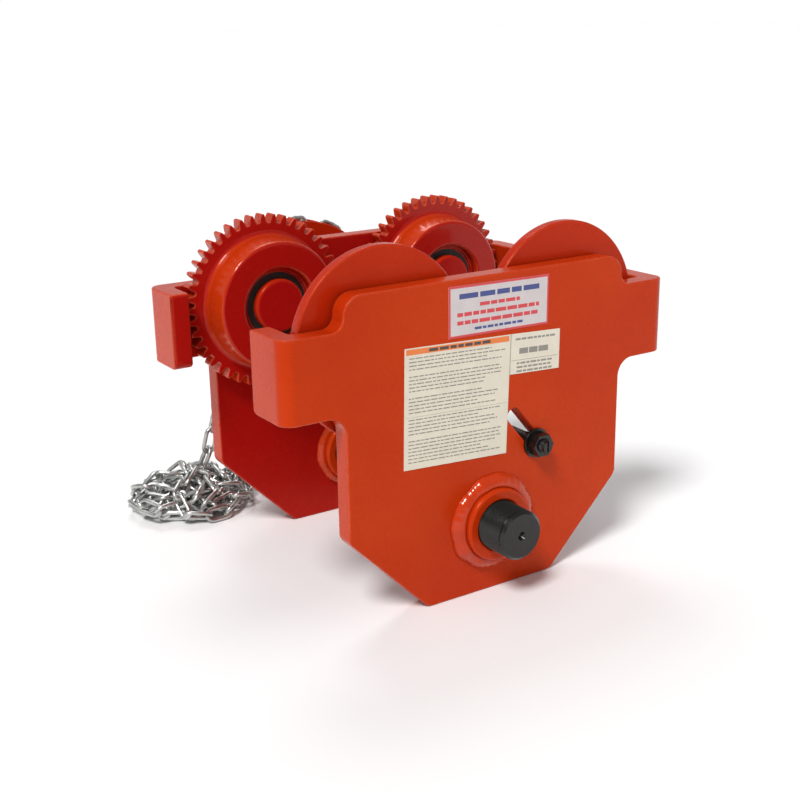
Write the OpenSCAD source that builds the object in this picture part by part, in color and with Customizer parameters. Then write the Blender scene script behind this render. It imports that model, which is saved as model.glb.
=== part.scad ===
// Geared beam trolley. It hangs on the lower flanges of an I-beam by four flanged wheels, and a
// screwed load bar with a lifting eye sets its width and carries the load. Millimetres, +Z up.
// X runs along the beam, Y across it. Z = 0 is the bottom edge of the two side plates.
// Each side is drawn in its own plate frame: y = 0 on the plate's outer face, +y inwards.

/* [Side plates] */
// Length over the bumper ends
plate_l = 450; // [440:1:470]
// Distance between the outer faces of the two plates, at the widest setting
plate_span = 290; // [280:1:300]
// Thickness of the plate
plate_t = 20; // [18:1:20]
// Width of the plate's middle
body_w = 326; // [320:1:330]
// Width of the flat bottom edge
foot_w = 152; // [140:1:160]
// Height of the plate's top edge
top_z = 320; // [318:1:326]
// Height at which the lower chamfers end
chamfer_z = 88; // [80:1:95]
// Underside of the arms
arm_low_z = 211; // [208:1:214]
// Top of the arms
arm_top_z = 289; // [284:1:292]
// Depth of the bumper flanges, from the plate's outer face
bumper_d = 60; // [55:1:62]
// Travel of each plate from the widest setting to the narrowest
plate_travel = 57; // [50:1:57]

/* [Wheels] */
// Distance between the wheel axes along the beam
wheel_base = 215; // [214:0.5:217]
// Height of the wheel axes
wheel_z = 264.3; // [262:0.1:266]
// Radius of the flange of a front wheel
flange_r = 92; // [90:0.5:94]
// Tread radius beside the flange
tread_r = 70; // [69:0.5:71]
// Tread radius at the wheel's inner end
tread_end_r = 67; // [66:0.5:68]
// Running gap between a plate and its wheels
wheel_gap = 4; // [3:0.5:5]
// Length of a wheel along its axle
wheel_l = 46; // [45:0.5:47]

/* [Gears] */
// Module of the gear teeth
gear_module = 4; // [4:1:4]
// Teeth on the flange of a back wheel
gear_teeth = 44; // [44:1:44]
// Teeth on the pinion
pinion_teeth = 15; // [15:1:15]
// Width of the gear faces
gear_w = 14; // [12:1:15]
// Thinning of each tooth flank, for backlash
backlash = 0.15; // [0.1:0.01:0.25]

/* [Load bar] */
// Radius of the load bar
bar_r = 25; // [24:0.5:25]
// Height of the load bar's axis
bar_z = 72.5; // [70:0.5:74]
// Length of bar beyond a plate's outer face
bar_proud = 48; // [44:1:50]
// Pitch of the bar's thread
bar_pitch = 3; // [3:0.5:4]
// Outer radius of the lifting eye
eye_r = 50; // [48:1:51]
// Radius of the hole in the lifting eye
eye_hole_r = 26; // [24:1:27]
// Thickness of the lifting eye
eye_t = 44; // [42:1:46]
// Outer radius of the threaded bosses
boss_r = 37; // [36:0.5:39]

/* [Guide rod] */
// Radius of the guide rod
rod_r = 7; // [6:0.5:7]
// Position of the guide rod along the beam
rod_x = 54; // [52:0.5:56]
// Height of the guide rod
rod_z = 143.5; // [142:0.5:145]
// Width of the slanting slots
slot_w = 15.4; // [15:0.1:17]

/* [Hand chain wheel] */
// Distance from the back plate's outer face to the middle of the hand chain wheel
hand_wheel_out = 94; // [92:1:96]
// Radius of the chain's centre line on the wheel
chain_wrap_r = 104; // [102:0.5:105]
// Radius of the wheel's cheeks
hand_wheel_r = 108; // [106:0.5:109]
// Width over one chain link
chain_w = 18; // [17:0.5:18]

/* [Hidden] */
$fn = 64;

paint = [0.77, 0.22, 0.08];
steel = [0.62, 0.62, 0.64];
black_steel = [0.10, 0.09, 0.09];
zinc = [0.72, 0.74, 0.76];
bronze = [0.62, 0.42, 0.22];

fit = 0.03;            // radial clearance of pressed and located pieces
run_fit = 0.05;        // radial clearance of pieces that turn or slide on each other

// Sides of the trolley. The origin is halfway along the whole depth, bar end to shaft end.
shaft_out = 120;                                   // shaft end beyond the back plate's outer face
front_y = -(bar_proud + plate_span + shaft_out) / 2 + bar_proud;
back_y = front_y + plate_span;
mid_y = (front_y + back_y) / 2;
wheel_x = wheel_base / 2;

// Bearing and axle, in the plate frame
bearing_r = 40;
bearing_w = 18;
journal_r = 20;
stub_r = 18;
stub_depth = 14;
ball_r = 6;
ball_ring_r = 30;
ball_count = 9;
race_out_r = 34.5;
race_in_r = 25.5;
wheel_s0 = plate_t + wheel_gap;                    // flange's outer face
wheel_s1 = wheel_s0 + wheel_l;                     // wheel's inner end
bearing_s1 = wheel_s1 - 10;
bearing_s0 = bearing_s1 - bearing_w;
ring_groove_w = 2;
axle_head_r = 28;
spacer_r = 27;

// Gears
pressure = 20;
gear_pitch_r = gear_module * gear_teeth / 2;
pinion_pitch_r = gear_module * pinion_teeth / 2;
centre_d = gear_pitch_r + pinion_pitch_r;
mesh_angle = acos(wheel_x / centre_d);
pinion_z = wheel_z - sqrt(centre_d * centre_d - wheel_x * wheel_x);

// Pinion shaft and its housing, in the plate frame
shaft_r = 12.5;
hub_seat_r = 11;
stud_r = 8;
housing_r = 24;
housing_out = 68;
housing_flange_r = 41;
housing_flange_t = 10;
housing_bore_r = 16;
spigot_r = 22;
bush_l = 20;
bolt_r = 4;
bolt_head_r = 7.2;
bolt_ring_r = 33.2;
hub_r = 21;
hub_s0 = -104;
hub_s1 = -75;
key_w = 6;
key_l = 20;
rim_inner_r = 84;
web_t = 7;
hole_r = 19;                                       // lightening holes
hole_ring_r = 53;
pin_s = -shaft_out + 6;                            // split pin through the shaft's end

// Boss and weld
boss_out = 14;
boss_in = 12;
weld_leg = 12;

// Chain route, in whole millimetres. The runs hang from the wheel's two sides to the floor.
hand_y = back_y + hand_wheel_out;
left_run = [[-104, 203, 215], [-104, 203, 190], [-105, 203, 160], [-108, 203, 130], [-114, 205, 104],
    [-122, 207, 78], [-126, 210, 57], [-130, 214, 40]];
right_run = [[104, 203, 215], [104, 203, 180], [104, 203, 140], [103, 203, 100], [102, 204, 70],
    [99, 207, 48], [93, 212, 30], [85, 217, 17]];
pile_base_h = 24;                                  // the heap's lower links, under its mound
pile_at = [-158, 212];
pile_r = 66;
pile_top_r = 36;
pile_h = 50;
spill_h = 20;

// Unit vector
function unit(v) = v / norm(v);

// Points of an arc of radius r that rounds the corner p between its neighbours a and b
function corner(a, p, b, r, n) =
    let (u = unit(a - p), v = unit(b - p), half = acos(u * v) / 2, c = p + unit(u + v) * r / sin(half),
        s = p + u * r / tan(half) - c, e = p + v * r / tan(half) - c,
        a0 = atan2(s[1], s[0]), turn = atan2(s[0] * e[1] - s[1] * e[0], s * e))
    [for (i = [0 : n]) c + r * [cos(a0 + turn * i / n), sin(a0 + turn * i / n)]];

// Closed outline through [x, y, radius] corners, with n steps to each rounded corner
function rounded(pts, n = 7) =
    [for (i = [0 : len(pts) - 1])
        let (k = len(pts), p = pts[i], a = pts[(i + k - 1) % k], b = pts[(i + 1) % k])
        each (p[2] == 0 ? [[p[0], p[1]]] :
            corner([a[0], a[1]], [p[0], p[1]], [b[0], b[1]], p[2], n))];

// Puts a plate-frame shape on the front or the back of the trolley
module on_front() translate([0, front_y, 0]) children();
module on_back() translate([0, back_y, 0]) mirror([0, 1, 0]) children();

// Extrudes an X-Z outline from y = s0 to y = s1
module across(s0, s1) translate([0, s1, 0]) rotate([90, 0, 0]) linear_extrude(s1 - s0) children();

// Turns an outline of [radius, y] points about the Y axis through [x, z]
module turned(x, z) translate([x, 0, z]) rotate([-90, 0, 0]) rotate_extrude() children();

// A plain ring or disc about the Y axis
module ring(x, z, r0, r1, s0, s1) turned(x, z) translate([r0, s0]) square([r1 - r0, s1 - s0]);

// ---- side plates ----

module slot_outline() {
    slot_top = [27, 176];
    slot_end = [rod_x, rod_z];
    run = slot_end - slot_top;
    translate(slot_top) rotate(atan2(run[1], run[0])) {
        translate([0, -slot_w / 2]) square([norm(run), slot_w]);
        circle(d = slot_w);
        translate([norm(run), 0]) circle(d = slot_w);
    }
}

module plate_outline() {
    bend = 25;                       // the bumpers take over this far from the ends
    half = [[foot_w / 2, 0, 12], [body_w / 2, chamfer_z, 12], [body_w / 2, arm_low_z, 18],
        [plate_l / 2 - bend, arm_low_z, 0], [plate_l / 2 - bend, arm_top_z, 0],
        [body_w / 2, arm_top_z, 12], [body_w / 2, top_z, 19]];
    k = len(half) - 1;
    polygon(rounded(concat(half, [for (i = [k : -1 : 0]) [-half[i][0], half[i][1], half[i][2]]])));
}

module bumper() {
    end = plate_l / 2;
    intersection() {
        translate([0, 0, arm_low_z]) linear_extrude(arm_top_z - arm_low_z)
            polygon(rounded([[end - 40, 0, 0], [end, 0, 14], [end, bumper_d, 3],
                [end - plate_t, bumper_d, 3], [end - plate_t, plate_t, 6], [end - 40, plate_t, 0]]));
        rotate([90, 0, 90]) linear_extrude(end + 1)
            polygon(rounded([[-1, arm_low_z, 0], [bumper_d, arm_low_z, 9], [bumper_d, arm_top_z, 4],
                [-1, arm_top_z, 0]]));
    }
}

module side_plate(pinion_hole) color(paint) difference() {
    union() {
        across(0, plate_t) plate_outline();
        bumper();
        mirror([1, 0, 0]) bumper();
    }
    across(-1, plate_t + 1) slot_outline();
    ring(0, bar_z, 0, boss_r + fit, -1, plate_t + 1);
    for (x = [-wheel_x, wheel_x]) ring(x, wheel_z, 0, stub_r + fit, plate_t - stub_depth, plate_t + 1);
    if (pinion_hole) {
        ring(0, pinion_z, 0, spigot_r + fit, -1, plate_t + 1);
        bolt_circle() ring(0, 0, 0, bolt_r + fit, -1, plate_t + 1);
    }
}

module boss() color(paint) turned(0, bar_z)
    polygon([[bar_r + run_fit, -boss_out + 2], [bar_r + 2, -boss_out], [boss_r - 2, -boss_out],
        [boss_r, -boss_out + 2], [boss_r, plate_t + boss_in - 2], [boss_r - 2, plate_t + boss_in],
        [bar_r + 2, plate_t + boss_in], [bar_r + run_fit, plate_t + boss_in - 2]]);

module boss_weld() color(paint) turned(0, bar_z) {
    inner = boss_r + fit;
    polygon([[inner, 0], [inner + weld_leg, 0], [inner + 8, -5], [inner + 3, -8], [inner, -9]]);
    polygon([[inner, plate_t], [inner + 8, plate_t], [inner + 5, plate_t + 4], [inner, plate_t + 7]]);
}

// ---- wheels, bearings and axles ----

// Bore of every wheel: clear of the spacer, then the bearing seat with its circlip groove
module wheel_bore() turned(0, 0)
    polygon([[0, wheel_s0 - 1], [race_out_r, wheel_s0 - 1], [race_out_r, bearing_s0],
        [bearing_r + fit, bearing_s0], [bearing_r + fit, bearing_s1 + 0.2], [bearing_r + 2, bearing_s1 + 0.2],
        [bearing_r + 2, bearing_s1 + 0.2 + ring_groove_w],
        [bearing_r + fit, bearing_s1 + 0.2 + ring_groove_w],
        [bearing_r + fit, wheel_s1 - 2], [bearing_r + 2, wheel_s1], [bearing_r + 2, wheel_s1 + 1],
        [0, wheel_s1 + 1]]);

// Tread from the flange face at s to the wheel's inner end
module tread(s) turned(0, 0)
    polygon(concat([[0, wheel_s0]], [[tread_r - 4, wheel_s0]], [[tread_r - 4, s - 1], [tread_r + 7, s - 1]],
        corner([tread_r + 9, s], [tread_r, s], [tread_end_r, wheel_s1], 6, 6),
        rounded([[tread_r, s + 8, 0], [tread_end_r, wheel_s1, 4], [0, wheel_s1, 0]], 5)));

module plain_wheel() color(paint) difference() {
    union() {
        flange_s1 = wheel_s0 + 12.5;
        turned(0, 0) polygon(rounded([[0, wheel_s0, 0], [flange_r, wheel_s0, 2], [flange_r, flange_s1, 3],
            [0, flange_s1, 0]], 4));
        tread(flange_s1);
    }
    wheel_bore();
}

// Half the angle of a tooth at radius r, for z teeth
function involute(a) = tan(a) * 180 / PI - a;
function half_tooth(z, r) =
    let (pitch_r = gear_module * z / 2, base_r = pitch_r * cos(pressure), rr = max(r, base_r + 0.001))
    90 / z + involute(pressure) - involute(acos(base_r / rr)) - backlash / pitch_r * 180 / PI;

module gear_outline(z, phase) {
    pitch_r = gear_module * z / 2;
    radii = [pitch_r - 1.25 * gear_module, pitch_r - 0.6 * gear_module, pitch_r,
        pitch_r + 0.5 * gear_module, pitch_r + 0.95 * gear_module];
    n = len(radii) - 1;
    polygon([for (t = [0 : z - 1]) let (mid = phase + t * 360 / z)
        each concat([for (i = [0 : n]) let (a = mid - half_tooth(z, radii[i])) radii[i] * [cos(a), sin(a)]],
            [for (i = [n : -1 : 0]) let (a = mid + half_tooth(z, radii[i])) radii[i] * [cos(a), sin(a)]])]);
}

// Tooth phase that meshes with a pinion tooth at 0 degrees, for a gear seen from the pinion at angle a
function gear_phase(a) =
    let (t = a * pinion_teeth / 360) a + 180 - (0.5 - (t - floor(t))) * 360 / gear_teeth;

module geared_wheel(phase) color(paint) difference() {
    union() {
        across(wheel_s0, wheel_s0 + gear_w) gear_outline(gear_teeth, phase);
        tread(wheel_s0 + gear_w);
    }
    wheel_bore();
}

module axle() color(paint) turned(0, 0)
    polygon(concat([[0, plate_t - stub_depth + 0.2], [stub_r - 1, plate_t - stub_depth + 0.2],
        [stub_r, plate_t - stub_depth + 1.2], [stub_r, plate_t], [journal_r, plate_t],
        [journal_r, bearing_s1 + 0.1]],
        rounded([[axle_head_r, bearing_s1 + 0.1, 0], [axle_head_r, wheel_s1 - 0.5, 4],
            [0, wheel_s1 - 0.5, 0]], 6)));

module spacer() color(steel) ring(0, 0, journal_r + fit, spacer_r, plate_t, bearing_s0);

module inner_ring() color(steel) turned(0, 0) difference() {
    translate([journal_r + fit, bearing_s0]) square([race_in_r - journal_r - fit, bearing_w]);
    translate([ball_ring_r, (bearing_s0 + bearing_s1) / 2]) circle(ball_r + 0.1);
}

module outer_ring() color(steel) turned(0, 0) difference() {
    translate([race_out_r, bearing_s0]) square([bearing_r - race_out_r, bearing_w]);
    translate([ball_ring_r, (bearing_s0 + bearing_s1) / 2]) circle(ball_r + 0.1);
}

module balls() color(steel) for (i = [0 : ball_count - 1])
    translate([ball_ring_r * cos(i * 360 / ball_count), (bearing_s0 + bearing_s1) / 2,
        ball_ring_r * sin(i * 360 / ball_count)]) sphere(ball_r, $fn = 32);

module seal() color(black_steel)
    ring(0, 0, race_in_r + 0.5, race_out_r - 0.1, bearing_s1 - 2, bearing_s1 - 0.8);

module circlip() color(black_steel) difference() {
    ring(0, 0, bearing_r - 3.5, bearing_r + 1.8, bearing_s1 + 0.3, bearing_s1 + ring_groove_w + 0.1);
    translate([-6, bearing_s1 - 1, -bearing_r - 4]) cube([12, ring_groove_w + 2, 12]);
}

module at_wheel(side) translate([side * wheel_x, 0, wheel_z]) children();

// ---- load bar and guide rod ----

// One threaded end of the bar, from its neck at y = from to its end at y = to
module bar_end(from, to) {
    chamfer = 3;
    turns = floor((to - chamfer - from) / bar_pitch);
    turned(0, 0) polygon(concat([[0, 34], [19, 34], [bar_r, 54]],
        [for (i = [0 : turns - 1]) each [[bar_r, from + i * bar_pitch],
            [bar_r - 0.55 * bar_pitch, from + (i + 0.5) * bar_pitch]]],
        [[bar_r, to - chamfer], [bar_r - chamfer, to], [4.5, to], [1.5, to - 4], [0, to - 4]]));
}

module load_bar() color(black_steel) translate([0, mid_y, bar_z]) {
    half = plate_span / 2 + bar_proud;
    rotate([0, 90, 0]) rotate_extrude() polygon(rounded([[eye_hole_r, -eye_t / 2, 8],
        [eye_r, -eye_t / 2, 9], [eye_r, eye_t / 2, 9], [eye_hole_r, eye_t / 2, 8]], 6));
    bar_end(62, half);
    mirror([0, 1, 0]) bar_end(62, half);
}

module guide_rod() color(black_steel) translate([rod_x, 0, rod_z]) difference() {
    end = plate_span / 2 + 20;
    turns = 10;
    pitch = 2;
    thread = [for (i = [0 : turns - 1]) each [[rod_r, end - 1.5 - (turns - i) * pitch],
        [rod_r - 1, end - 1.5 - (turns - i - 0.5) * pitch]]];
    k = len(thread) - 1;
    translate([0, mid_y, 0]) turned(0, 0) polygon(concat([[0, -end], [rod_r - 1.5, -end]],
        [for (i = [k : -1 : 0]) [thread[i][0], -thread[i][1]]], thread, [[rod_r - 1.5, end], [0, end]]));
    for (s = [-1, 1]) translate([-1, mid_y + s * end - 2, -rod_r]) cube([2, 4, 2 * rod_r]);
}

module guide_rod_washers() color(black_steel) {
    on_front() ring(rod_x, rod_z, rod_r + fit, 15, -3, 0);
    on_back() ring(rod_x, rod_z, rod_r + fit, 15, -3, 0);
}

module hex_nut(x, z, r, bore_r, s0, s1) difference() {
    translate([x, s1, z]) rotate([90, 0, 0]) cylinder(r = r, h = s1 - s0, $fn = 6);
    ring(x, z, 0, bore_r, s0 - 1, s1 + 1);
}

module guide_rod_nuts() color(black_steel) {
    on_front() hex_nut(rod_x, rod_z, 12.7, rod_r + fit, -14, -3);
    on_back() hex_nut(rod_x, rod_z, 12.7, rod_r + fit, -14, -3);
}

// ---- pinion, hand wheel and their fasteners, in the back plate's frame ----

module bolt_circle() for (a = [45 : 90 : 315])
    translate([bolt_ring_r * cos(a), 0, pinion_z + bolt_ring_r * sin(a)]) children();

// Key half in the shaft and half in the hub
module keyway(clear) translate([-key_w / 2 - clear, hub_s0 + 4, pinion_z + hub_seat_r - key_w / 2 - clear])
    cube([key_w + 2 * clear, key_l, key_w + 2 * clear]);

module pinion_shaft() color(steel) difference() {
    union() {
        translate([0, 0, pinion_z]) across(wheel_s0, wheel_s0 + gear_w) gear_outline(pinion_teeth, 0);
        turned(0, pinion_z) polygon([[0, hub_s1], [shaft_r, hub_s1], [shaft_r, wheel_s0 + gear_w - 1],
            [0, wheel_s0 + gear_w - 1]]);
        turned(0, pinion_z) polygon([[0, -shaft_out], [stud_r - 1, -shaft_out], [stud_r, -shaft_out + 1],
            [stud_r, hub_s0 - 0.5], [hub_seat_r, hub_s0 + 1], [hub_seat_r, hub_s1 + 1], [0, hub_s1 + 1]]);
    }
    keyway(fit);
    split_pin_hole(2 + fit);
}

module split_pin_hole(r) translate([0, pin_s, pinion_z - 17]) cylinder(r = r, h = 34);

module pinion_housing() color(paint) difference() {
    turned(0, pinion_z) polygon([[housing_bore_r, -housing_out], [housing_r - 1, -housing_out],
        [housing_r, -housing_out + 1], [housing_r, -housing_flange_t - 1.5],
        [housing_r + 1.5, -housing_flange_t], [housing_flange_r - 1, -housing_flange_t],
        [housing_flange_r, -housing_flange_t + 1], [housing_flange_r, 0], [spigot_r, 0],
        [spigot_r, plate_t + 2], [housing_bore_r, plate_t + 2]]);
    bolt_circle() ring(0, 0, 0, bolt_r + 0.5, -housing_flange_t - 1, 1);
}

module pinion_bushes() color(bronze) {
    ring(0, pinion_z, shaft_r + run_fit, housing_bore_r - fit, -housing_out, -housing_out + bush_l);
    ring(0, pinion_z, shaft_r + run_fit, housing_bore_r - fit, plate_t + 2 - bush_l, plate_t + 2);
}

module housing_bolts() color(zinc) bolt_circle() {
    ring(0, 0, 0, bolt_r, -housing_flange_t - 0.5, plate_t - 1);
    translate([0, -housing_flange_t, 0]) rotate([90, 0, 0]) cylinder(r = bolt_head_r, h = 5.3, $fn = 6);
}

// Rim of the pulley, with a deep groove for the chain's standing links
module hand_wheel() color(paint) {
    mid = -hand_wheel_out;
    side = [[94.3, 4], [98, 8.8], [hand_wheel_r - 1, 11.6], [hand_wheel_r, 12.4], [hand_wheel_r - 1, 14],
        [92, 14], [88, 10], [rim_inner_r, 3.5]];
    k = len(side) - 1;
    turned(0, pinion_z) polygon([for (p = concat(side, [for (i = [k : -1 : 0]) [side[i][0], -side[i][1]]]))
        [p[0], mid + p[1]]]);
}

// Web with lightening holes, welded into the rim, and its hub
module hand_wheel_web() color(paint) {
    mid = -hand_wheel_out;
    difference() {
        union() {
            ring(0, pinion_z, hub_r - 2, rim_inner_r - fit, mid - web_t / 2, mid + web_t / 2);
            turned(0, pinion_z) polygon([[hub_seat_r + fit, hub_s0], [hub_r - 1, hub_s0], [hub_r, hub_s0 + 1],
                [hub_r, hub_s1 - 2.5], [hub_r - 1, hub_s1 - 1.5], [hub_seat_r + fit, hub_s1 - 1.5]]);
        }
        for (a = [0 : 60 : 300])
            ring(hole_ring_r * cos(a), pinion_z + hole_ring_r * sin(a), 0, hole_r, mid - web_t, mid + web_t);
        keyway(fit);
    }
}

module hand_wheel_key() color(steel) keyway(0);

module hand_wheel_washer() color(zinc) ring(0, pinion_z, stud_r + fit, 16, hub_s0 - 3, hub_s0 - 0.5);

module hand_wheel_nut() color(zinc) difference() {
    hex_nut(0, pinion_z, 13.8, stud_r + fit, hub_s0 - 13, hub_s0 - 3);
    split_pin_hole(2 + fit);
}

module hand_wheel_split_pin() color(zinc) split_pin_hole(2);

// ---- labels, on the front plate's outer face ----

module label(points) color("ivory") across(-0.4, 0) polygon(points);
module maker_label() on_front() label([[-51, 265], [67, 263], [67.5, 312], [-51, 314]]);
module info_label() on_front() label([[-103, 147], [17, 140], [20, 219], [82, 216], [82.5, 256],
    [21.5, 259], [-100, 263.5]]);

// ---- hand chain, as plain solids of its outer size ----

module chain_wrap() color(zinc) translate([0, hand_y, pinion_z]) rotate([90, 0, 0])
    rotate_extrude(angle = 180) translate([chain_wrap_r, 0]) circle(chain_w / 2, $fn = 24);

// Point on a smooth curve through the route, at u steps from its start
function on_curve(p, u) =
    let (n = len(p) - 1, i = min(floor(u), n - 1), t = u - i,
        a = p[max(i - 1, 0)], b = p[i], c = p[i + 1], d = p[min(i + 2, n)])
    0.5 * (2 * b + (c - a) * t + (2 * a - 5 * b + 4 * c - d) * t * t
        + (3 * b - a - 3 * c + d) * t * t * t);

// Tube along a route that runs mostly up and down
module swept_tube(route, r, rings) {
    sides = 10;
    steps = len(route) - 1;
    at = [for (i = [0 : rings]) on_curve(route, i * steps / rings)];
    points = [for (i = [0 : rings])
        let (d = unit(at[min(i + 1, rings)] - at[max(i - 1, 0)]), u = unit(cross([0, 1, 0], d)),
            v = cross(d, u))
        for (j = [0 : sides - 1]) at[i] + r * (cos(j * 360 / sides) * u + sin(j * 360 / sides) * v)];
    faces = concat([[for (j = [0 : sides - 1]) j]],
        [for (i = [0 : rings - 1], j = [0 : sides - 1]) let (k = (j + 1) % sides)
            [i * sides + k, i * sides + j, (i + 1) * sides + j, (i + 1) * sides + k]],
        [[for (j = [sides - 1 : -1 : 0]) rings * sides + j]]);
    polyhedron(points, faces);
}

module chain_run_left() color(zinc) swept_tube(left_run, chain_w / 2, 14);
module chain_run_right() color(zinc) swept_tube(right_run, chain_w / 2, 14);
module chain_pile() color(zinc) {
    linear_extrude(pile_base_h) polygon(rounded([[-243, 140, 35], [-85, 136, 18], [-82, 280, 30],
        [-225, 284, 50]]));
    translate(pile_at) cylinder(r1 = pile_r, r2 = pile_top_r, h = pile_h);
}
module chain_spill() color(zinc) linear_extrude(spill_h)
    polygon(rounded([[-82, 170, 15], [112, 170, 30], [112, 275, 30], [-82, 275, 15]]));

on_front() side_plate(false);  // front_side_plate
on_front() boss();  // front_boss
on_front() boss_weld();  // front_boss_weld
on_back() side_plate(true);  // back_side_plate
on_back() boss();  // back_boss
on_back() boss_weld();  // back_boss_weld
on_front() at_wheel(-1) plain_wheel();  // front_left_wheel
on_front() at_wheel(1) plain_wheel();  // front_right_wheel
on_back() at_wheel(-1) geared_wheel(gear_phase(180 - mesh_angle));  // back_left_wheel
on_back() at_wheel(1) geared_wheel(gear_phase(mesh_angle));  // back_right_wheel
on_front() at_wheel(-1) axle();  // front_left_axle
on_front() at_wheel(1) axle();  // front_right_axle
on_back() at_wheel(-1) axle();  // back_left_axle
on_back() at_wheel(1) axle();  // back_right_axle
on_front() at_wheel(-1) spacer();  // front_left_spacer
on_front() at_wheel(1) spacer();  // front_right_spacer
on_back() at_wheel(-1) spacer();  // back_left_spacer
on_back() at_wheel(1) spacer();  // back_right_spacer
on_front() at_wheel(-1) inner_ring();  // front_left_inner_ring
on_front() at_wheel(1) inner_ring();  // front_right_inner_ring
on_back() at_wheel(-1) inner_ring();  // back_left_inner_ring
on_back() at_wheel(1) inner_ring();  // back_right_inner_ring
on_front() at_wheel(-1) outer_ring();  // front_left_outer_ring
on_front() at_wheel(1) outer_ring();  // front_right_outer_ring
on_back() at_wheel(-1) outer_ring();  // back_left_outer_ring
on_back() at_wheel(1) outer_ring();  // back_right_outer_ring
on_front() at_wheel(-1) balls();  // front_left_balls
on_front() at_wheel(1) balls();  // front_right_balls
on_back() at_wheel(-1) balls();  // back_left_balls
on_back() at_wheel(1) balls();  // back_right_balls
on_front() at_wheel(-1) seal();  // front_left_seal
on_front() at_wheel(1) seal();  // front_right_seal
on_back() at_wheel(-1) seal();  // back_left_seal
on_back() at_wheel(1) seal();  // back_right_seal
on_front() at_wheel(-1) circlip();  // front_left_circlip
on_front() at_wheel(1) circlip();  // front_right_circlip
on_back() at_wheel(-1) circlip();  // back_left_circlip
on_back() at_wheel(1) circlip();  // back_right_circlip
load_bar();
guide_rod();
guide_rod_washers();
guide_rod_nuts();
on_back() pinion_shaft();
on_back() pinion_housing();
on_back() pinion_bushes();
on_back() housing_bolts();
on_back() hand_wheel();
on_back() hand_wheel_web();
on_back() hand_wheel_key();
on_back() hand_wheel_washer();
on_back() hand_wheel_nut();
on_back() hand_wheel_split_pin();
maker_label();
info_label();
chain_wrap();
chain_run_left();
chain_run_right();
chain_pile();
chain_spill();
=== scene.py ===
"""Looks of the geared beam trolley: enamel, black oxide and zinc surfaces, weld beads, labels and a hand
chain of real links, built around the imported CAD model. Metres, +Z up, X along the beam, and Y from the
front plate to the back."""

import math
import random

import bmesh
import bpy
import numpy as np
from mathutils import Matrix, Vector


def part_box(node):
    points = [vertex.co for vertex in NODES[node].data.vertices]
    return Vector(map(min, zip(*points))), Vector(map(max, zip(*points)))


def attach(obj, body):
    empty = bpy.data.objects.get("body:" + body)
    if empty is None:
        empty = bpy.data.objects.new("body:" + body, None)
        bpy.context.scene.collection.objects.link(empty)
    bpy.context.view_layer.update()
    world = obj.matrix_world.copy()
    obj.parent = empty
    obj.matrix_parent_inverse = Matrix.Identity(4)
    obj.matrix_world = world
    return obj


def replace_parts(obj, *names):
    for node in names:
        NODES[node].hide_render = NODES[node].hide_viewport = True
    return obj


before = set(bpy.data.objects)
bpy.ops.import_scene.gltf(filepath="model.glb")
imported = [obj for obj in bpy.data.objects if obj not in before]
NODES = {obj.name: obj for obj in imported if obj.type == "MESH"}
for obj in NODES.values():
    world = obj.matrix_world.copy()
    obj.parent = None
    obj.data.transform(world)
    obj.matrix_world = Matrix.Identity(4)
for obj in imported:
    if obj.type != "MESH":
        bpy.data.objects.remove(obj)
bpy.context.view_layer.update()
MM = 0.001


def centre(node):
    low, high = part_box(node)
    return (low + high) / 2


# Places, from the frame
FRONT_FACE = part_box("front_side_plate")[0].y
BACK_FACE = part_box("back_side_plate")[1].y
BAR = centre("load_bar")
HAND_WHEEL = centre("hand_wheel")
BOSS_R = (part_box("front_boss")[1].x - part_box("front_boss")[0].x) / 2

# ---------------------------------------------------------------- camera

CAMERA_AT = Vector((-0.6917, -1.0813, 0.5489))
CAMERA_YAW = math.radians(33.52)  # from +Y towards +X
CAMERA_PITCH = math.radians(17.16)  # downwards
CAMERA_ROLL = math.radians(-0.84)
FOCAL_LENGTH = 55.6
CAMERA_SHIFT = (-0.0119, -0.0008)


def add_camera():
    level = math.cos(CAMERA_PITCH)
    ahead = Vector((math.sin(CAMERA_YAW) * level, math.cos(CAMERA_YAW) * level, -math.sin(CAMERA_PITCH)))
    right = Vector((math.cos(CAMERA_YAW), -math.sin(CAMERA_YAW), 0))
    up = right.cross(ahead)
    c, s = math.cos(CAMERA_ROLL), math.sin(CAMERA_ROLL)
    right, up = c * right + s * up, c * up - s * right
    data = bpy.data.cameras.new("camera")
    data.sensor_width = 36
    data.lens = FOCAL_LENGTH
    data.shift_x, data.shift_y = CAMERA_SHIFT
    data.clip_start = 0.01
    obj = bpy.data.objects.new("camera", data)
    bpy.context.scene.collection.objects.link(obj)
    turn = Matrix((right, up, -ahead)).transposed()
    obj.matrix_world = Matrix.Translation(CAMERA_AT) @ turn.to_4x4()
    bpy.context.scene.camera = obj


add_camera()

# ---------------------------------------------------------------- shader nodes


def material(name):
    mat = bpy.data.materials.new(name)
    mat.use_nodes = True
    tree = mat.node_tree
    shader = tree.nodes["Principled BSDF"]
    return mat, tree, shader


def add(tree, kind, **values):
    """A node with its properties and its inputs' values set. A value that is a socket is linked."""
    node = tree.nodes.new(kind)
    for key, value in values.items():
        if hasattr(node, key):
            setattr(node, key, value)
        else:
            give(tree, node.inputs[key], value)
    return node


def give(tree, socket, value):
    """Links a socket to an input, or sets the input to a plain value."""
    if isinstance(value, bpy.types.NodeSocket):
        tree.links.new(value, socket)
    else:
        socket.default_value = value


def coords(tree):
    return add(tree, "ShaderNodeTexCoord").outputs["Object"]


def noise(tree, scale, detail, rough, at):
    node = add(tree, "ShaderNodeTexNoise", Scale=scale, Detail=detail, Roughness=rough, Vector=at)
    return node.outputs["Fac"]


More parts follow.
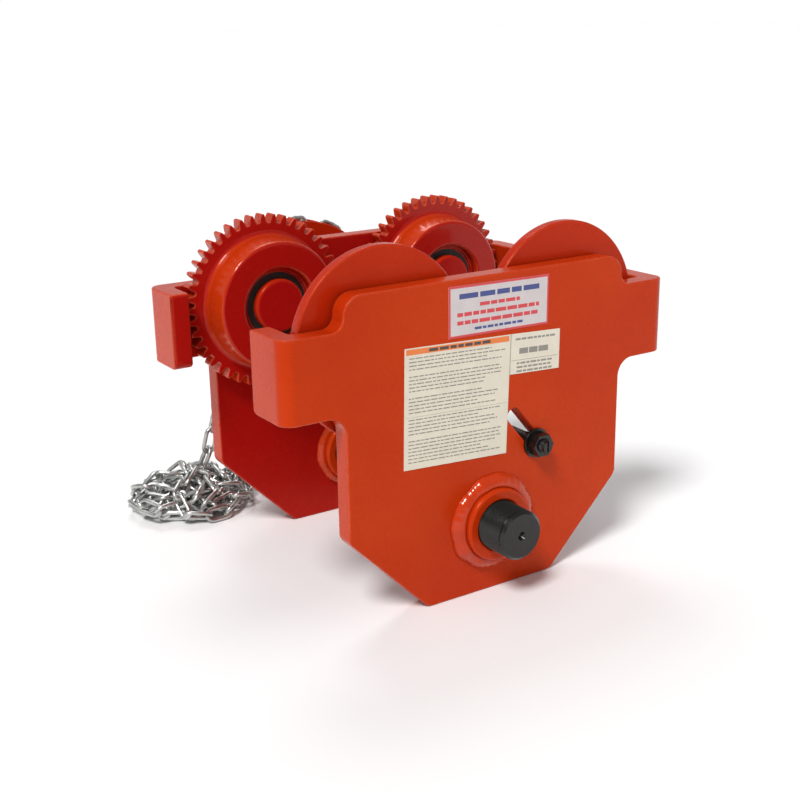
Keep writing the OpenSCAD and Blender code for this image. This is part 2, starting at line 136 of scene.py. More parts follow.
def ramp(tree, fac, stops):
    node = add(tree, "ShaderNodeValToRGB", Fac=fac)
    node.color_ramp.elements[0].position = stops[0][0]
    node.color_ramp.elements[0].color = stops[0][1]
    node.color_ramp.elements[1].position = stops[-1][0]
    node.color_ramp.elements[1].color = stops[-1][1]
    for position, color in stops[1:-1]:
        node.color_ramp.elements.new(position).color = color
    return node.outputs["Color"]


def mix(tree, fac, a, b):
    node = add(tree, "ShaderNodeMix", data_type="RGBA")
    for socket, value in ((node.inputs[0], fac), (node.inputs[6], a), (node.inputs[7], b)):
        give(tree, socket, value)
    return node.outputs[2]


def math_node(tree, operation, a, b):
    node = add(tree, "ShaderNodeMath", operation=operation)
    for socket, value in zip(node.inputs, (a, b)):
        give(tree, socket, value)
    return node.outputs[0]


def remap(tree, value, low, high, to_low, to_high):
    node = add(tree, "ShaderNodeMapRange")
    for socket, given in zip(node.inputs[:5], (value, low, high, to_low, to_high)):
        give(tree, socket, given)
    return node.outputs[0]


def bump(tree, height, distance, strength, onto=None):
    node = add(tree, "ShaderNodeBump", Strength=strength, Distance=distance, Height=height)
    if onto is not None:
        tree.links.new(onto, node.inputs["Normal"])
    return node.outputs["Normal"]


def grey(v):
    return (v, v, v, 1)


def darker(color, share):
    return tuple(c * share for c in color[:3]) + (1,)


# ---------------------------------------------------------------- materials

ORANGE_DEEP = (0.45, 0.026, 0.002, 1)
ORANGE = (0.50, 0.036, 0.003, 1)
# Painted shade: a darker, redder copy of the orange enamel, for parts that sit in shade
SHADED_RED_DEEP = (0.40, 0.015, 0.002, 1)
SHADED_RED = (0.48, 0.025, 0.003, 1)
# Painted shade: the deep red that faces turned inwards along Y are mixed towards
INWARD_SHADE_RED = (0.37, 0.0035, 0.0045, 1)
# Pale pink for the edges: partly paint worn through, partly a painted highlight where light catches them
RUBBED_AND_HIGHLIGHT_PINK = (0.66, 0.22, 0.13, 1)
ENAMEL_GLINT = (1.0, 0.32, 0.14, 1)
EDGE_R = 2.2 * MM  # how far the rubbing and the painted edge highlight reach in from an edge

# Noise scales of the enamel
DRIFT = 7
SAG = 26
GLOSS = 60
RUB_AND_HIGHLIGHT = 120
SPECK = 260
PEEL = 700


def near_edge(tree):
    """1 on an edge's round and 0 a little away from it."""
    rounded = add(tree, "ShaderNodeBevel", samples=4, Radius=EDGE_R).outputs[0]
    plain = add(tree, "ShaderNodeNewGeometry").outputs["Normal"]
    turn = add(tree, "ShaderNodeVectorMath", operation="DOT_PRODUCT")
    tree.links.new(rounded, turn.inputs[0])
    tree.links.new(plain, turn.inputs[1])
    return remap(tree, turn.outputs["Value"], 0.99, 0.90, 0, 1)


def enamel(name, deep, bright, inward=0, peel=0.2, waves=0.5, wear_and_highlight=0.5, coat=0.05):
    """Thick glossy sprayed enamel: colour that drifts a little, sags and orange peel, a few dull specks, and
    edges turned pale pink, partly worn paint and partly a painted highlight. Faces that look inwards along Y
    are given a deeper red, painted shade, where inward is 1 or -1."""
    mat, tree, shader = material(name)
    at = coords(tree)
    colour = mix(tree, remap(tree, noise(tree, DRIFT, 3, 0.5, at), 0.35, 0.65, 0, 1), deep, bright)
    if inward:
        normal = add(tree, "ShaderNodeNewGeometry").outputs["Normal"]
        facing = add(tree, "ShaderNodeSeparateXYZ", Vector=normal).outputs["Y"]
        # Painted shade: faces turned inwards along Y, into the trolley, are mixed towards deep red
        inward_shade = remap(tree, math_node(tree, "MULTIPLY", facing, inward), 0.5, 0.9, 0, 0.9)
        colour = mix(tree, inward_shade, colour, INWARD_SHADE_RED)
    specks = remap(tree, noise(tree, SPECK, 2, 0.5, at), 0.72, 0.80, 0, 0.35)
    colour = mix(tree, specks, colour, darker(deep, 0.5))
    # Edges pale pink in patches: partly worn paint and partly a painted highlight on the rounded edges
    patches = remap(tree, noise(tree, RUB_AND_HIGHLIGHT, 5, 0.7, at), 0.36, 0.60, 0.1, wear_and_highlight)
    rubbed_and_highlight = math_node(tree, "MULTIPLY", near_edge(tree), patches)
    colour = mix(tree, rubbed_and_highlight, colour, RUBBED_AND_HIGHLIGHT_PINK)
    rough = remap(tree, noise(tree, GLOSS, 5, 0.6, at), 0.3, 0.7, 0.22, 0.32)
    rough = math_node(tree, "ADD", rough, math_node(tree, "MULTIPLY", rubbed_and_highlight, 0.3))
    fine = bump(tree, noise(tree, PEEL, 2, 0.5, at), 0.00012, peel)
    wavy = bump(tree, noise(tree, SAG, 2, 0.4, at), 0.0006, waves, fine)
    tree.links.new(colour, shader.inputs["Base Color"])
    tree.links.new(rough, shader.inputs["Roughness"])
    tree.links.new(wavy, shader.inputs["Normal"])
    shader.inputs["Specular IOR Level"].default_value = 0.3
    shader.inputs["Specular Tint"].default_value = ENAMEL_GLINT
    shader.inputs["Coat Weight"].default_value = coat
    shader.inputs["Coat Roughness"].default_value = 0.08
    return mat


def metal(name, base, rough_low, rough_high, scale=180, depth=0.00008, dark=0.6, metallic=1.0):
    """Bare or plated metal, or rubber where metallic is 0: roughness and tone that change from place to
    place, with fine marks."""
    mat, tree, shader = material(name)
    at = coords(tree)
    tone = remap(tree, noise(tree, scale * 0.3, 4, 0.6, at), 0.3, 0.7, 0, 1)
    rough = remap(tree, noise(tree, scale, 4, 0.6, at), 0.3, 0.7, rough_low, rough_high)
    tree.links.new(mix(tree, tone, darker(base, dark), base), shader.inputs["Base Color"])
    tree.links.new(rough, shader.inputs["Roughness"])
    tree.links.new(bump(tree, noise(tree, scale * 6, 2, 0.5, at), depth, 0.5), shader.inputs["Normal"])
    shader.inputs["Metallic"].default_value = metallic
    return mat


def film(name, base):
    """Printed vinyl: nearly even, with a faint mottle, and slightly raised creases."""
    mat, tree, shader = material(name)
    at = coords(tree)
    tone = remap(tree, noise(tree, 70, 3, 0.5, at), 0.3, 0.7, 0, 1)
    rough = remap(tree, noise(tree, 220, 3, 0.5, at), 0.3, 0.7, 0.30, 0.42)
    tree.links.new(mix(tree, tone, darker(base, 0.93), base), shader.inputs["Base Color"])
    tree.links.new(rough, shader.inputs["Roughness"])
    tree.links.new(bump(tree, noise(tree, 30, 2, 0.5, at), 0.0007, 0.5), shader.inputs["Normal"])
    return mat


FRONT_PAINT = enamel("front_enamel", ORANGE_DEEP, ORANGE, inward=1)
BACK_PAINT = enamel("back_enamel", ORANGE_DEEP, ORANGE, inward=-1)
BOSS_PAINT = enamel("boss_enamel", ORANGE_DEEP, ORANGE, peel=0.3, waves=0.8, wear_and_highlight=0.3)
WELD_PAINT = enamel("weld_enamel", ORANGE_DEEP, ORANGE, peel=1.0, waves=1.0, wear_and_highlight=0.3, coat=0.6)
# The front wheels, the hand wheel and the axle take the darker red copy of the enamel: painted shade
FRONT_WHEEL_PAINT = enamel("front_wheel_enamel", SHADED_RED_DEEP, SHADED_RED, inward=1, peel=0.3, waves=0.7)
BACK_WHEEL_PAINT = enamel("back_wheel_enamel", ORANGE_DEEP, ORANGE, inward=-1, peel=0.3, waves=0.7, coat=0.3)
HAND_WHEEL_PAINT = enamel("hand_wheel_enamel", SHADED_RED_DEEP, SHADED_RED, peel=0.3, waves=0.7)
AXLE_PAINT = enamel("axle_enamel", SHADED_RED_DEEP, SHADED_RED, inward=-1, peel=0.3, waves=0.6, wear_and_highlight=0.4)
BLACK_STEEL = metal("black_oxide", (0.007, 0.006, 0.005, 1), 0.18, 0.30, 220, 0.00003, 0.55, 0.0)
BEARING_STEEL = metal("ground_steel", (0.56, 0.56, 0.57, 1), 0.16, 0.30)
BALL_STEEL = metal("polished_steel", (0.70, 0.70, 0.71, 1), 0.05, 0.10)
# Black rubber, and kept dark also as painted shade inside the wheels' recesses
SEAL_RUBBER_AND_SHADE = metal("seal_rubber", (0.022, 0.021, 0.021, 1), 0.5, 0.7, 260, 0.0001, 0.7, 0.0)
SHAFT_STEEL = metal("machined_steel", (0.46, 0.45, 0.44, 1), 0.22, 0.38)
BRONZE = metal("bush_bronze", (0.50, 0.31, 0.13, 1), 0.24, 0.40)
ZINC = metal("zinc_plate", (0.62, 0.64, 0.63, 1), 0.20, 0.36)
CHAIN_ZINC = metal("chain_zinc", (0.66, 0.67, 0.65, 1), 0.26, 0.42, 160, 0.00006)

# ---------------------------------------------------------------- CAD nodes: materials and softened edges

# The key that is a node name's longest ending gives its material, and likewise its edges' rounding
NODE_MATERIALS = {
    "front_side_plate": FRONT_PAINT, "back_side_plate": BACK_PAINT,
    "boss": BOSS_PAINT, "boss_weld": WELD_PAINT, "pinion_housing": BOSS_PAINT,
    "front_left_wheel": FRONT_WHEEL_PAINT, "front_right_wheel": FRONT_WHEEL_PAINT,
    "back_left_wheel": BACK_WHEEL_PAINT, "back_right_wheel": BACK_WHEEL_PAINT,
    "hand_wheel": HAND_WHEEL_PAINT, "hand_wheel_web": HAND_WHEEL_PAINT,
    # The axle, its outer ring and circlip take the darker red: painted shade inside the wheels' recesses
    "axle": AXLE_PAINT, "outer_ring": AXLE_PAINT, "circlip": AXLE_PAINT,
    "inner_ring": BEARING_STEEL, "spacer": BEARING_STEEL, "balls": BALL_STEEL, "seal": SEAL_RUBBER_AND_SHADE,
    "load_bar": BLACK_STEEL, "guide_rod": BLACK_STEEL,
    "guide_rod_washers": BLACK_STEEL, "guide_rod_nuts": BLACK_STEEL,
    "pinion_shaft": SHAFT_STEEL, "hand_wheel_key": SHAFT_STEEL, "pinion_bushes": BRONZE,
    "housing_bolts": ZINC, "hand_wheel_washer": ZINC, "hand_wheel_nut": ZINC, "hand_wheel_split_pin": ZINC,
}

# In millimetres. Other nodes keep sharp edges
EDGE_ROUNDS = {
    "side_plate": 1.5, "boss": 1.0, "pinion_housing": 0.8,
    "wheel": 0.8, "hand_wheel_web": 0.8, "axle": 0.8,
    "guide_rod_nuts": 0.6, "guide_rod_washers": 0.4,
    "housing_bolts": 0.5, "hand_wheel_nut": 0.6, "hand_wheel_washer": 0.3,
    "pinion_shaft": 0.3, "circlip": 0.2, "seal": 0.2,
}

SAME_POINT = 2e-6
FLAT_ANGLE = math.radians(0.4)
ROUND_ANGLE = math.radians(32)
SPLIT_ANGLE = math.radians(30)
ROUND_SEGMENTS = 3


def by_ending(table, node, otherwise):
    """The table's entry whose key is the longest ending of the node's name."""
    keys = [k for k in table if node.endswith(k)]
    return table[max(keys, key=len)] if keys else otherwise


def soften(obj, width):
    """Merges the faces' split corners, and then clears flat triangles and rounds the sharp edges by width
    millimetres, or shades them as sharp where width is 0."""
    if "custom_normal" in obj.data.attributes:
        obj.data.attributes.remove(obj.data.attributes["custom_normal"])
    obj.data.shade_smooth()
    obj.modifiers.new("weld", "WELD").merge_threshold = SAME_POINT
    if not width:
        obj.modifiers.new("split", "EDGE_SPLIT").split_angle = SPLIT_ANGLE
    else:
        flat = obj.modifiers.new("flat", "DECIMATE")
        flat.decimate_type = "DISSOLVE"
        flat.angle_limit = FLAT_ANGLE
        bevel = obj.modifiers.new("bevel", "BEVEL")
        bevel.width = width * MM
        bevel.segments = ROUND_SEGMENTS
        bevel.limit_method = "ANGLE"
        bevel.angle_limit = ROUND_ANGLE
        bevel.use_clamp_overlap = False
        bevel.miter_outer = "MITER_ARC"
    normals = obj.modifiers.new("normals", "WEIGHTED_NORMAL")
    normals.weight = 60
    normals.keep_sharp = True


for node_name, node_object in NODES.items():
    node_finish = by_ending(NODE_MATERIALS, node_name, None)
    if node_finish is None:
        continue
    node_object.data.materials.clear()
    node_object.data.materials.append(node_finish)
    soften(node_object, by_ending(EDGE_ROUNDS, node_name, 0))

# ---------------------------------------------------------------- mesh helpers


def piece(name, verts, faces, mat, body, smooth=True):
    mesh = bpy.data.meshes.new(name)
    mesh.from_pydata([tuple(v) for v in verts], [], faces)
    mesh.validate()
    mesh.materials.append(mat)
    if smooth:
        mesh.shade_smooth()
    obj = bpy.data.objects.new(name, mesh)
    bpy.context.scene.collection.objects.link(obj)
    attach(obj, body)
    return obj


def closed_tube(verts, faces, rings, sides):
    """Quads between the last rings of points in verts, the last ring joined to the first."""
    base = len(verts) - rings * sides
    for i in range(rings):
        this, following = base + i * sides, base + (i + 1) % rings * sides
        for k in range(sides):
            n = (k + 1) % sides
            faces.append((this + k, this + n, following + n, following + k))


# ---------------------------------------------------------------- hand chain: its route

WIRE = 5 * MM
PITCH = 25 * MM
LINK_W = 18 * MM
FREE_LINKS = 175
LINK_REST = 8.4 * MM  # height of the chain's centre line where it lies, links leaning on alternate sides

# Places along the route, in millimetres
LEFT_RUN = [(-104, 203, 215), (-104, 203, 190), (-105, 203, 160), (-108, 203, 130), (-114, 205, 104),
            (-122, 207, 78), (-126, 210, 57), (-130, 214, 40)]
RIGHT_RUN = [(104, 203, 215), (104, 203, 180), (104, 203, 140), (103, 203, 100), (102, 204, 70),
             (99, 207, 48), (93, 212, 30), (85, 217, 17)]
WAY_OVER = [(-66, 208, 8), (-90, 210, 8), (-114, 212, 8)]  # from the spill behind the trolley to the heap
WAY_OVER_LINKS = 8
HEAP_AT = (-162, 198)
HEAP_HALF = (86, 66)
HEAP_TOP = 66
HEAP_TILT = 0.3
SPILL_AT = (20, 222)
SPILL_HALF = (82, 42)
SPILL_TOP = 14
SPILL_LINKS = 26

# Laying, in millimetres and degrees
CELL = 6  # of the grid of heights that the chain is laid on
LINK_RISE = 3  # of a cell that a link crosses, at each of its steps
LINK_STEPS = 4
FIRST_HEIGHT = 7.5
WIDEST_TURN = 100
TURN_STEP = 20
TURN_SHAKE = 9
TURN_COST = 0.05
CHANCE_COST = 7
SEED = 7

# Settling
SETTLE_STEPS = 160
PITCH_ROUNDS = 12
STRAND_GAP = 12 * MM
NEIGHBOURS = 1.6  # links of one strand this close along the chain aren't pushed apart
PUSH = 0.25
SMOOTHING = 0.04
SINK = 0.3 * MM
HELD_JOINTS = 8  # at each end, which stay where the chain hangs


def heap_height(x, y):
    """The mound that the heap is laid to: highest near the hanging chain, and nothing beyond its rounded
    outline."""
    u, v = (x - HEAP_AT[0]) / HEAP_HALF[0], (y - HEAP_AT[1]) / HEAP_HALF[1]
    return HEAP_TOP * (1 - abs(u) ** 3 - abs(v) ** 3) * (1 + HEAP_TILT * u)


def spill_height(x, y):
    """The low spread of chain behind the trolley."""
    q = abs((x - SPILL_AT[0]) / SPILL_HALF[0]) ** 4 + abs((y - SPILL_AT[1]) / SPILL_HALF[1]) ** 4
    return SPILL_TOP * (1 - q)


def cell_at(x, y):
    return round(x / CELL), round(y / CELL)


def laid_links(start, heading, count, shape, laid, rng):
    """Lays count links one after another from start. Each goes, of a few ways, where the chain laid so far
    lies lowest under the shape that is being filled, and the grid of heights grows under it."""
    points, (x, y) = [], start
    step = PITCH / MM
    for _ in range(count):
        best = None
        for turn in range(-WIDEST_TURN, WIDEST_TURN + 1, TURN_STEP):
            way = heading + math.radians(turn + rng.uniform(-TURN_SHAKE, TURN_SHAKE))
            nx, ny = x + step * math.cos(way), y + step * math.sin(way)
            cost = laid.get(cell_at(nx, ny), 0) - shape(nx, ny) + abs(turn) * TURN_COST
            cost += rng.uniform(0, CHANCE_COST)
            if best is None or cost < best[0]:
                best = cost, way, nx, ny
        _, heading, nx, ny = best
        for k in range(LINK_STEPS + 1):
            mx, my = cell_at(x + (nx - x) * k / LINK_STEPS, y + (ny - y) * k / LINK_STEPS)
            for cell in ((mx, my), (mx + 1, my), (mx - 1, my), (mx, my + 1), (mx, my - 1)):
                laid[cell] = laid.get(cell, 0) + LINK_RISE
        x, y = nx, ny
        points.append((x, y, FIRST_HEIGHT + laid[cell_at(x, y)]))
    return points


def route_length(points):
    return sum(math.dist(a, b) for a, b in zip(points[:-1], points[1:]))


def raw_route():
    """The free chain's centre line before it settles, in millimetres: from the wheel's left side down to the
    heap, through it, along the floor behind the trolley and up to the wheel's right side. It is laid from
    its right end."""
    rng = random.Random(SEED)
    laid = {}
    hung = round(route_length(LEFT_RUN) + route_length(RIGHT_RUN)) * MM / PITCH
    heap_links = round(FREE_LINKS - hung - SPILL_LINKS - WAY_OVER_LINKS)
    spill = laid_links(RIGHT_RUN[-1][:2], math.pi, SPILL_LINKS, spill_height, laid, rng)
    heap = laid_links(WAY_OVER[-1][:2], math.pi, heap_links, heap_height, laid, rng)
    return LEFT_RUN + (RIGHT_RUN + spill + WAY_OVER + heap)[::-1]


def resample(points, count):
    """count + 1 points at equal steps of length along a line through the points."""
    p = np.array(points, float)
    s = np.concatenate([[0], np.cumsum(np.linalg.norm(np.diff(p, axis=0), axis=1))])
    t = np.linspace(0, s[-1], count + 1)
    return np.stack([np.interp(t, s, p[:, k]) for k in range(3)], axis=1)


def strand_push(p, apart):
    """How far each joint, and then each link's middle, is pushed by the strands that are too near it."""
    probe = np.concatenate([p, 0.5 * (p[:-1] + p[1:])])
    gap = probe[:, None, :] - probe[None, :, :]
    far = np.linalg.norm(gap, axis=2) + 1e-9
    close = apart & (far < STRAND_GAP)
    away = gap / far[:, :, None] * (STRAND_GAP - far[:, :, None]) * PUSH
    return np.where(close[:, :, None], away, 0).sum(1)


def restore_pitch(p):
    """Moves the joints so that each link is its pitch long, first the even links and then the odd ones."""
    for first in (0, 1):
        a, b = p[first:-1:2], p[first + 1::2]
        n = min(len(a), len(b))
        d = b[:n] - a[:n]
        long = np.linalg.norm(d, axis=1, keepdims=True)
        shift = 0.5 * (long - PITCH) * d / long
        a[:n] += shift
        b[:n] -= shift


def settled_route():
    """The joints between the free chain's links, in metres: each link its full pitch long, and the strands
    pushed a little apart and down onto the floor."""
    p = resample(raw_route(), FREE_LINKS) * MM
    start, end = p[:HELD_JOINTS].copy(), p[-HELD_JOINTS:].copy()
    count = len(p)
    where = np.concatenate([np.arange(count), np.arange(count - 1) + 0.5])
    apart = np.abs(where[:, None] - where[None, :]) > NEIGHBOURS
    for _ in range(SETTLE_STEPS):
        p[1:-1] += SMOOTHING * (0.5 * (p[:-2] + p[2:]) - p[1:-1])
        p[:, 2] -= SINK
        push = strand_push(p, apart)
        p += push[:count]
        p[:-1] += 0.5 * push[count:]
        p[1:] += 0.5 * push[count:]
        for _ in range(PITCH_ROUNDS):
            restore_pitch(p)
            p[:HELD_JOINTS], p[-HELD_JOINTS:] = start, end
            p[:, 2] = np.maximum(p[:, 2], LINK_REST)
    return p


# ---------------------------------------------------------------- hand chain: its links

LINK_BEND_R = (LINK_W - WIRE) / 2
LINK_SIDES = 8
BEND_STEPS = 6
LINK_WELD = ((4, 1.0), (1.2, 1.16), (-1.2, 1.16), (-4, 1.0))  # millimetres along the link, and swelling
WRAP_R = 104 * MM  # of the chain's centre line round the hand wheel
WRAP_LINKS = 13
LEAN = 45
LEAN_SHAKE = 14
LEAN_SEED = 3
ACROSS_WHEEL = Vector((0, 1, 0))
UP = Vector((0, 0, 1))


def link_rings(lie, across, at, mesh_verts):
    """Adds one link's rings: an oblong of round wire with a small weld swelling on one long side."""
    normal = lie.cross(across)
    straight = (PITCH + WIRE) / 2 - LINK_BEND_R
    outline = []
    for side in (1, -1):
        for k in range(BEND_STEPS + 1):
            a = math.radians(-90 + 180 * k / BEND_STEPS)
            bend = straight + LINK_BEND_R * math.cos(a)
            outline.append((side * bend, side * LINK_BEND_R * math.sin(a), 1.0))
        if side == 1:
            outline += [(u * MM, LINK_BEND_R, swell) for u, swell in LINK_WELD]
    n = len(outline)
    for i, (u, v, swell) in enumerate(outline):
        before, after = outline[i - 1], outline[(i + 1) % n]
        along = (lie * (after[0] - before[0]) + across * (after[1] - before[1])).normalized()
        out = along.cross(normal)
        middle = at + lie * u + across * v
        for k in range(LINK_SIDES):
            a = 2 * math.pi * k / LINK_SIDES
            mesh_verts.append(middle + (out * math.cos(a) + normal * math.sin(a)) * WIRE / 2 * swell)
    return n


def chain_mesh(name, points, widths):
    """A chain whose links run from each point to the next. widths gives each link's broad direction."""
    verts, faces = [], []
    for a, b, across in zip(points[:-1], points[1:], widths):
        lie = (b - a).normalized()
        across = (across - lie * across.dot(lie)).normalized()
        rings = link_rings(lie, across, (a + b) / 2, verts)
        closed_tube(verts, faces, rings, LINK_SIDES)
    return piece(name, verts, faces, CHAIN_ZINC, "back_plate")


def free_widths(points):
    """Links turn by a right angle from one to the next: square to the wheel on the hanging runs, and leaning
    where the chain lies."""
    rng = random.Random(LEAN_SEED)
    widths = []
    last = ACROSS_WHEEL
    for i, (a, b) in enumerate(zip(points[:-1], points[1:])):
        lie = (b - a).normalized()
        lying = min(1, max(0, (0.92 - abs(lie.z)) / 0.5))
        level = lie.cross(UP)
        level = level.normalized() if level.length > 0.05 else ACROSS_WHEEL
        if level.dot(last) < 0:
            level = -level
        level = (level * lying + ACROSS_WHEEL * (1 - lying)).normalized()
        level = (level - lie * level.dot(lie)).normalized()
        last = level
        lean = math.radians(LEAN * lying + rng.uniform(-LEAN_SHAKE, LEAN_SHAKE) * lying)
        lean += math.pi / 2 if i % 2 else 0
        widths.append(level * math.cos(lean) + lie.cross(level) * math.sin(lean))
    return widths


def add_chain():
    joints = [Vector(p) for p in settled_route()]
    free = chain_mesh("hand_chain", joints, free_widths(joints))
    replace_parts(free, "chain_run_left", "chain_run_right", "chain_pile", "chain_spill")
    turns = [math.pi * i / WRAP_LINKS for i in range(WRAP_LINKS + 1)]
    hub = Vector((0, HAND_WHEEL.y, HAND_WHEEL.z))
    over = [Vector((-WRAP_R * math.cos(a), hub.y, HAND_WHEEL.z + WRAP_R * math.sin(a))) for a in turns]
    radial = [(a + b) / 2 - hub for a, b in zip(over[:-1], over[1:])]
    widths = [ACROSS_WHEEL if i % 2 else radial[i] for i in range(WRAP_LINKS)]
    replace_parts(chain_mesh("hand_chain_over_wheel", over, widths), "chain_wrap")


add_chain()

# ---------------------------------------------------------------- welds

PLATE_T = 20 * MM
BEAD_RINGS = 260
BEAD_SIDES = 12
BEAD_WANDER = 17  # places round the ring where the bead's size is set
BEAD_SINK = 0.4 * MM  # into the boss
OUTER_BEAD = (12.5 * MM, 8.5 * MM)  # width and height
INNER_BEAD = (8 * MM, 6 * MM)


def weld_bead(name, body, bead_at, seed, size, side):
    """A hand-laid bead round a boss: a rippled, slightly wandering ring. size is its width and height, and
    side is the way that it faces along Y."""
    rng = random.Random(seed)
    wander = [rng.uniform(0.9, 1.1) for _ in range(BEAD_WANDER)]
    verts, faces = [], []
    for i in range(BEAD_RINGS):
        a = 2 * math.pi * i / BEAD_RINGS
        t = a / (2 * math.pi) * BEAD_WANDER
        k = int(t) % BEAD_WANDER
        f = t - int(t)
        f = f * f * (3 - 2 * f)
        swell = wander[k] * (1 - f) + wander[(k + 1) % BEAD_WANDER] * f
        ripple = 1 + 0.012 * math.sin(a * 37 + 2.5 * math.sin(a * 3)) + 0.03 * math.sin(a * 11 + seed)
        w, h = size[0] * swell * ripple, size[1] * swell * ripple
        for j in range(BEAD_SIDES):
            b = math.pi * j / (BEAD_SIDES - 1)
            r = BOSS_R + w * 0.5 * (1 - math.cos(b)) - BEAD_SINK
            lift = 0
            if 0 < j < BEAD_SIDES - 1:
                lift = h * (math.sin(b) * 0.55 + 0.5 * (1 + math.cos(b)) * 0.75)
            verts.append((BAR.x + r * math.cos(a), bead_at + side * lift, BAR.z + r * math.sin(a)))
    closed_tube(verts, faces, BEAD_RINGS, BEAD_SIDES)
    return piece(name, verts, faces, WELD_PAINT, body)


def add_welds():
    for label, face, out in (("front", FRONT_FACE, -1), ("back", BACK_FACE, 1)):
        body = f"{label}_plate"
        outer = weld_bead(f"{label}_boss_bead", body, face, 5, OUTER_BEAD, out)
        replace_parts(outer, f"{label}_boss_weld")
        weld_bead(f"{label}_boss_bead_inner", body, face - out * PLATE_T, 9, INNER_BEAD, -out)


add_welds()

# ---------------------------------------------------------------- labels

WHITE = film("label_white", (0.60, 0.54, 0.54, 1))
CREAM = film("label_cream", (0.72, 0.66, 0.54, 1))
PRINT_RED = film("print_red", (0.62, 0.05, 0.06, 1))
PRINT_BLUE = film("print_blue", (0.05, 0.07, 0.24, 1))
PRINT_ORANGE = film("print_orange", (0.78, 0.20, 0.04, 1))
PRINT_GREY = film("print_grey", (0.26, 0.24, 0.21, 1))
PRINT_BLACK = film("print_black", (0.06, 0.05, 0.05, 1))
LABEL_T = 0.4 * MM
PRINT_T = 0.06 * MM

# Corners on the front face, (x, z) in millimetres, anticlockwise from low left
MAKER = [(-51, 265), (67, 263), (67.5, 312), (-51, 314)]
INFO_LEFT = [(-103, 147), (17, 140), (21.5, 259), (-100, 263.5)]
INFO_RIGHT = [(20, 219), (82, 216), (82.5, 256), (21.5, 259)]
INFO_OUTLINE = INFO_LEFT[:2] + INFO_RIGHT[:3] + INFO_LEFT[2:]

# Shares of a label's width, for the upright lines, and of its height
MAKER_EDGE = 0.016
RULE = 0.012
MAKER_RIM = 0.045
FINE_PRINT_TOP = 0.915
FINE_PRINT_STEP = 0.0295

FINE_PRINT_ROWS = 30
BLANK_ROWS = (4, 10, 16, 22)  # of them, which part the paragraphs


def slabs(name, outlines, lift, thick, mat):
    """Thin plates on the front face, one for each outline of (x, z) corners."""
    verts, faces = [], []
    y0 = FRONT_FACE - lift
    for outline in outlines:
        base = len(verts)
        n = len(outline)
        verts += [(x * MM, y0, z * MM) for x, z in outline]
        verts += [(x * MM, y0 - thick, z * MM) for x, z in outline]
        faces.append(tuple(base + k for k in range(n))[::-1])
        faces.append(tuple(base + n + k for k in range(n)))
        faces += [(base + k, base + (k + 1) % n, base + n + (k + 1) % n, base + n + k) for k in range(n)]
    obj = piece(name, verts, faces, mat, "front_plate", smooth=False)
    bm = bmesh.new()
    bm.from_mesh(obj.data)
    bmesh.ops.recalc_face_normals(bm, faces=bm.faces)
    bm.to_mesh(obj.data)
    bm.free()
    return obj


def on_label(corners, u, v):
    """The point of a four-sided label at u along it and v up it, both from 0 to 1."""
    (ax, az), (bx, bz), (cx, cz), (dx, dz) = corners
    return ((ax * (1 - u) + bx * u) * (1 - v) + (dx * (1 - u) + cx * u) * v,
            (az * (1 - u) + bz * u) * (1 - v) + (dz * (1 - u) + cz * u) * v)


def patch(corners, u0, u1, v0, v1):
    return [on_label(corners, u, v) for u, v in ((u0, v0), (u1, v0), (u1, v1), (u0, v1))]


def word_rows(corners, rows, height, seed, u0, u1, fill, word, gap=0.012):
    """Rows of short bars in place of words, between u0 and u1. rows lists each row's v, fill is the range of
    how much of its length a row takes up, and word is the range of a bar's length."""
    rng = random.Random(seed)
    bars = []
    for v in rows:
        end = u0 + (u1 - u0) * rng.uniform(*fill)
        u = u0
        while u < end:
            w = min(rng.uniform(*word), end - u)
            if w > word[0] * 0.5:
                bars.append(patch(corners, u, u + w, v - height / 2, v + height / 2))
            u += w + gap
    return bars


def add_sheets():
    maker = slabs("maker_sheet", [MAKER], 0, LABEL_T, WHITE)
    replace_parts(maker, "maker_label")
    info = slabs("info_sheet", [INFO_OUTLINE], 0, LABEL_T, CREAM)
    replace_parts(info, "info_label")


def print_maker():
    red = [patch(MAKER, 0, 1, 0, MAKER_RIM), patch(MAKER, 0, 1, 1 - MAKER_RIM, 1),
           patch(MAKER, 0, MAKER_EDGE, MAKER_RIM, 1 - MAKER_RIM),
           patch(MAKER, 1 - MAKER_EDGE, 1, MAKER_RIM, 1 - MAKER_RIM)]
    red += word_rows(MAKER, [0.60], 0.07, 2, 0.30, 0.70, (1, 1), (0.06, 0.1))
    red += word_rows(MAKER, [0.44, 0.28], 0.075, 4, 0.08, 0.92, (0.97, 1), (0.05, 0.11))
    slabs("maker_print_red", red, LABEL_T, PRINT_T, PRINT_RED)
    blue = word_rows(MAKER, [0.79], 0.10, 6, 0.10, 0.90, (1, 1), (0.10, 0.2), 0.02)
    blue += word_rows(MAKER, [0.14], 0.05, 8, 0.25, 0.75, (1, 1), (0.03, 0.07))
    slabs("maker_print_blue", blue, LABEL_T, PRINT_T, PRINT_BLUE)


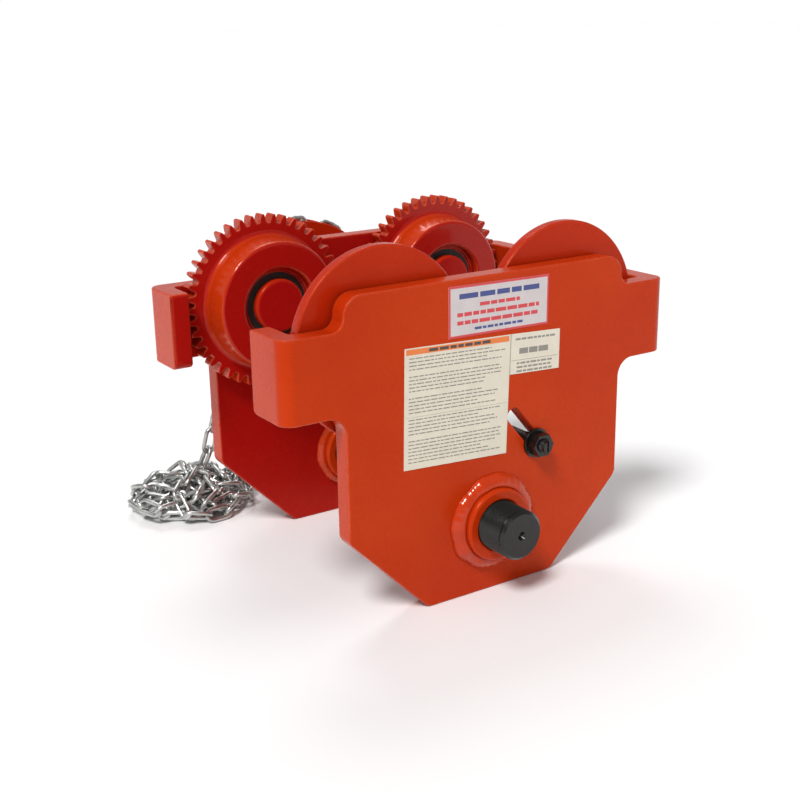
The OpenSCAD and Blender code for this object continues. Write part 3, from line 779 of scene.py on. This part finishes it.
def print_info():
    band = [patch(INFO_LEFT, 0.012, 0.985, 0.945, 0.99)]
    slabs("info_print_band", band, LABEL_T, PRINT_T, PRINT_ORANGE)
    title = word_rows(INFO_LEFT, [0.967], 0.024, 12, 0.22, 0.80, (1, 1), (0.05, 0.1), 0.016)
    slabs("info_print_title", title, LABEL_T + PRINT_T, PRINT_T, PRINT_BLACK)
    rows = [FINE_PRINT_TOP - FINE_PRINT_STEP * k for k in range(FINE_PRINT_ROWS) if k not in BLANK_ROWS]
    dark = word_rows(INFO_LEFT, rows, 0.009, 11, 0.04, 0.955, (0.72, 1.0), (0.018, 0.07), 0.010)
    dark += [patch(INFO_LEFT, 0.01, 0.985, 0.435, 0.437)]
    dark += [patch(INFO_RIGHT, 0, RULE, 0, 1), patch(INFO_RIGHT, 0.03, 0.97, 0.335, 0.345)]
    dark += word_rows(INFO_RIGHT, [0.86], 0.05, 13, 0.10, 0.90, (1, 1), (0.05, 0.12), 0.02)
    dark += word_rows(INFO_RIGHT, [0.56], 0.14, 14, 0.18, 0.82, (1, 1), (0.12, 0.2), 0.02)
    dark += word_rows(INFO_RIGHT, [0.26, 0.16, 0.06], 0.045, 15, 0.14, 0.86, (0.9, 1), (0.05, 0.12), 0.02)
    slabs("info_print_dark", dark, LABEL_T, PRINT_T, PRINT_GREY)


add_sheets()
print_maker()
print_info()

# ---------------------------------------------------------------- floor and light

FLOOR_HALF = 60


def add_floor():
    corners = [(x * FLOOR_HALF, y * FLOOR_HALF, 0) for x, y in ((-1, -1), (1, -1), (1, 1), (-1, 1))]
    mesh = bpy.data.meshes.new("floor")
    mesh.from_pydata(corners, [], [(0, 1, 2, 3)])
    mat, _, shader = material("floor_white")
    shader.inputs["Base Color"].default_value = grey(0.90)
    shader.inputs["Roughness"].default_value = 0.6
    mesh.materials.append(mat)
    obj = bpy.data.objects.new("floor", mesh)
    bpy.context.scene.collection.objects.link(obj)


def add_sun(name, toward, power, angle):
    """A distant lamp, angle degrees across."""
    data = bpy.data.lights.new(name, "SUN")
    data.energy = power
    data.angle = math.radians(angle)
    obj = bpy.data.objects.new(name, data)
    bpy.context.scene.collection.objects.link(obj)
    obj.rotation_euler = Vector(toward).to_track_quat("Z", "Y").to_euler()


def add_world():
    """A white studio: bright all round at the height of the horizon and dimmer overhead."""
    world = bpy.data.worlds.new("world")
    bpy.context.scene.world = world
    world.use_nodes = True
    tree = world.node_tree
    at = add(tree, "ShaderNodeTexCoord").outputs["Generated"]
    height = add(tree, "ShaderNodeSeparateXYZ", Vector=at).outputs["Z"]
    shade = ramp(tree, height, [(0.0, grey(1.0)), (0.08, grey(1.0)), (0.25, grey(0.36)), (1.0, grey(0.3))])
    tree.links.new(shade, tree.nodes["Background"].inputs["Color"])


bpy.context.scene.view_settings.view_transform = "Standard"
add_floor()
add_world()
add_sun("key", toward=(-0.60, -0.42, 0.9), power=2.7, angle=16)
add_sun("back", toward=(0.3, 0.8, 1.2), power=0.7, angle=24)
